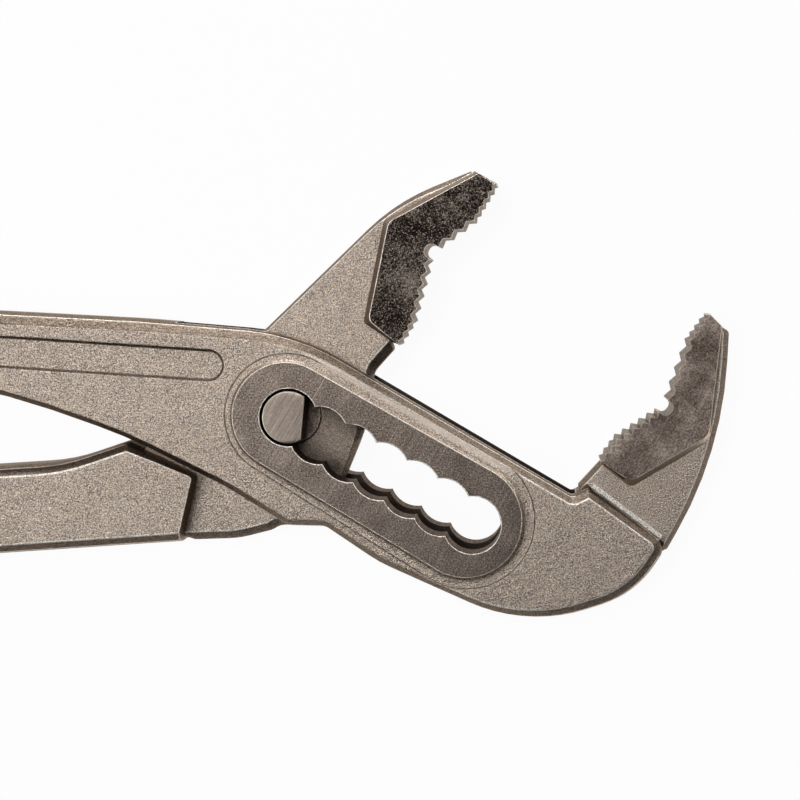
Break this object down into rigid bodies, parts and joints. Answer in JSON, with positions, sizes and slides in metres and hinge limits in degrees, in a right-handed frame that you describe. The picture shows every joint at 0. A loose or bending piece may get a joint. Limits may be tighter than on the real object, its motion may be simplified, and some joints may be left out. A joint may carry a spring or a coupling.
{
  "type": "water pump pliers",
  "caption": "Box-joint water pump pliers: two forged steel legs interlaced at a notched slot, a pin with flats, and curved jaws with graded teeth for gripping pipes and nuts.",
  "frame": {"origin": "on the pin's axis, in the plane of the rear boss and the pin's rear end, with the pin in the slot's first notch", "axes": "+X from the handles to the jaws, +Y towards the moving jaw's side, +Z out of the front face of the tool"},
  "size_m": [0.2498, 0.0966, 0.014],
  "materials": {
    "slotted_leg_steel": "satin nickel over a blasted forging, with ground boss faces and jaw pads",
    "inner_leg_steel": "satin nickel over a blasted forging, with a ground jaw pad",
    "pin_steel": "ground flush with the boss, straight brushed lines"
  },
  "bodies": {
    "slotted_leg": {"slotted_leg": "slotted_leg_steel"},
    "pivot_pin": {"pivot_pin": "pin_steel"},
    "inner_leg": {"inner_leg": "inner_leg_steel"}
  },
  "joints": [
    {"name": "notch_slide", "type": "slide", "parent": "slotted_leg", "child": "pivot_pin", "axis": [0.8634, -0.5045, 0], "range_m": [0, 0.04536]},
    {"name": "leg_hinge", "type": "hinge", "parent": "pivot_pin", "child": "inner_leg", "pos_m": [0, 0, 0.007], "axis": [0, 0, 1], "range_deg": [0, 58]}
  ]
}
